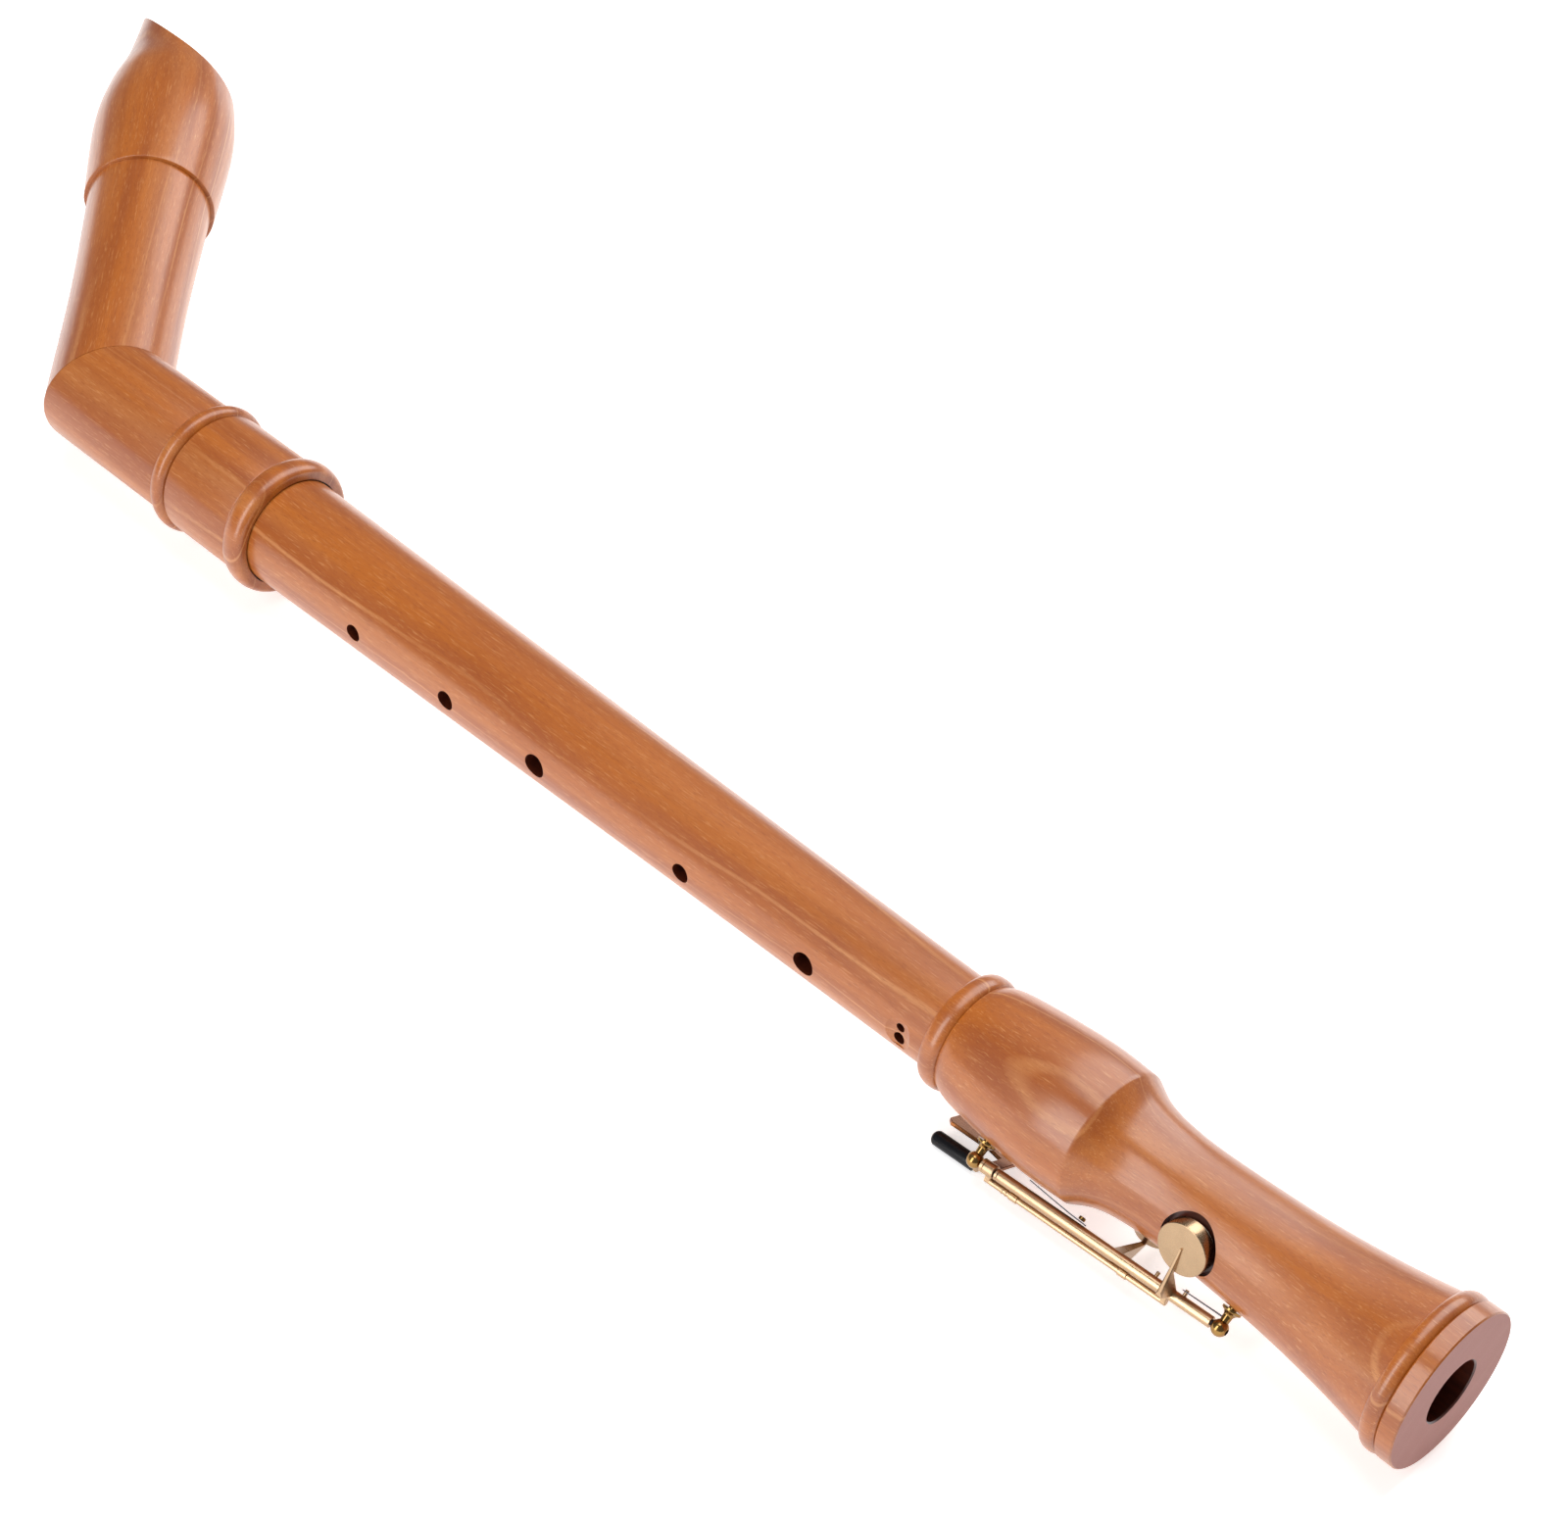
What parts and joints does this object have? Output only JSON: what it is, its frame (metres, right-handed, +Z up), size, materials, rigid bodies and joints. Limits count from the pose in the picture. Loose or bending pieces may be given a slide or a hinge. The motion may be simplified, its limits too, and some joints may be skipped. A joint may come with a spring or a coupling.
{
  "type": "tenor recorder",
  "caption": "Wooden tenor recorder with a bent neck, finger holes and a double foot key; blown through the beak to play low woodwind notes.",
  "frame": {"origin": "bottom centre of the bounding box, as the recorder lies on its player's right side", "axes": "+X along the bore of the foot and middle joints toward the bell, +Z up toward the player's left side, +Y toward the back, the way the head bends; the finger holes face -Y"},
  "size_m": [0.6082, 0.1354, 0.056],
  "materials": {
    "pearwood": "oiled and satin, fine flecked grain along the bore",
    "cedar": "bare, smooth",
    "cork": "natural cork, matte",
    "key_brass": "pale satin",
    "pillar_brass": "polished, a little aged",
    "blued_steel": "dark blued",
    "black_resin": "gloss black",
    "pad_skin": "thin pale skin over felt"
  },
  "bodies": {
    "middle": {"middle_joint": "pearwood", "lower_tenon_cork": "cork", "upper_tenon_cork": "cork"},
    "head": {"head_socket_piece": "pearwood", "head_beak_piece": "pearwood", "fipple_block": "cedar"},
    "foot": {"foot_joint": "pearwood", "upper_pillar": "pillar_brass", "lower_pillar": "pillar_brass", "hinge_rod": "blued_steel", "c_sharp_needle_spring": "blued_steel"},
    "c_key": {"c_key_lever": "key_brass", "c_key_pad_cup": "key_brass", "c_key_pad": "pad_skin", "c_key_flat_spring": "blued_steel", "flat_spring_screw": "pillar_brass"},
    "roller": {"touch_roller": "black_resin"},
    "c_sharp_key": {"c_sharp_key_lever": "key_brass", "c_sharp_key_pad_cup": "key_brass", "c_sharp_key_pad": "pad_skin", "c_sharp_touch_plate": "key_brass"}
  },
  "joints": [
    {"name": "head_slide", "type": "slide", "parent": "middle", "child": "head", "axis": [-1, 0, 0], "range_m": [0, 0.025]},
    {"name": "foot_turn", "type": "hinge", "parent": "middle", "child": "foot", "pos_m": [0.18, -0.04638, 0.02338], "axis": [1, 0, 0], "range_deg": [-30, 30]},
    {"name": "c_key_hinge", "type": "hinge", "parent": "foot", "child": "c_key", "pos_m": [0.17965, -0.06383, 0.00822], "axis": [0.999, 0.0341, 0.0296], "range_deg": [0, 7], "stiffness_Nm_per_rad": 0.03, "springref_deg": -11.46},
    {"name": "c_sharp_key_hinge", "type": "hinge", "parent": "foot", "child": "c_sharp_key", "pos_m": [0.17965, -0.06383, 0.00822], "axis": [0.999, 0.0341, 0.0296], "range_deg": [0, 7], "stiffness_Nm_per_rad": 0.03, "springref_deg": -11.46},
    {"name": "roller_spin", "type": "hinge", "parent": "c_key", "child": "roller", "pos_m": [0.17773, -0.06084, 0.00243], "axis": [0.999, 0.0341, 0.0296], "continuous": true}
  ]
}
